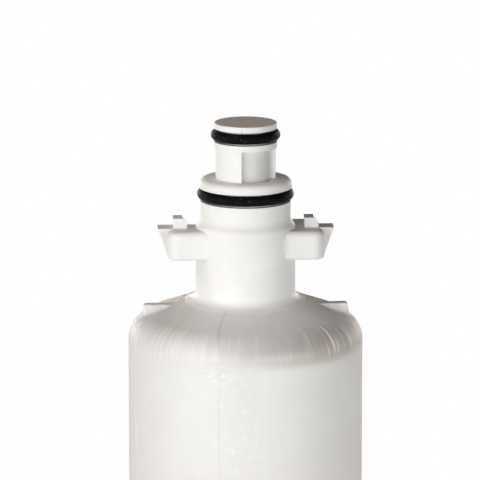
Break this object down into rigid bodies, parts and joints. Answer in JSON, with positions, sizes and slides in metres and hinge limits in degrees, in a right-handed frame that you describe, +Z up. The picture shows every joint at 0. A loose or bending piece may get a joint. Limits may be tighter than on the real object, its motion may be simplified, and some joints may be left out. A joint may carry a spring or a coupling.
{
  "type": "refrigerator water filter cartridge",
  "caption": "Twist-in refrigerator water filter cartridge: sealed spigot and neck, bayonet lugs, sloping ribbed shoulder and a long cylindrical body under clear shrink film.",
  "frame": {"origin": "centre of the flat ring that the cartridge stands on", "axes": "+Z up the cartridge's axis to the tip, +X through a bayonet lug, -Y towards the side that the picture shows"},
  "size_m": [0.0616, 0.0616, 0.232],
  "materials": {
    "housing_white": "smooth satin white polypropylene",
    "seal_black": "black moulded rubber with a trace of seal grease",
    "film_clear": "clear glossy shrink film",
    "block_carbon": "matt pressed carbon",
    "wrap_fleece": "white non-woven fleece",
    "cap_white": "plain white polypropylene"
  },
  "bodies": {
    "root": {"housing_head": "housing_white", "housing_sump": "housing_white", "tip_o_ring": "seal_black", "neck_o_ring": "seal_black", "shrink_film": "film_clear", "carbon_block": "block_carbon", "sediment_wrap": "wrap_fleece", "block_top_cap": "cap_white", "block_bottom_cap": "cap_white", "stem_o_ring": "seal_black"}
  },
  "joints": []
}
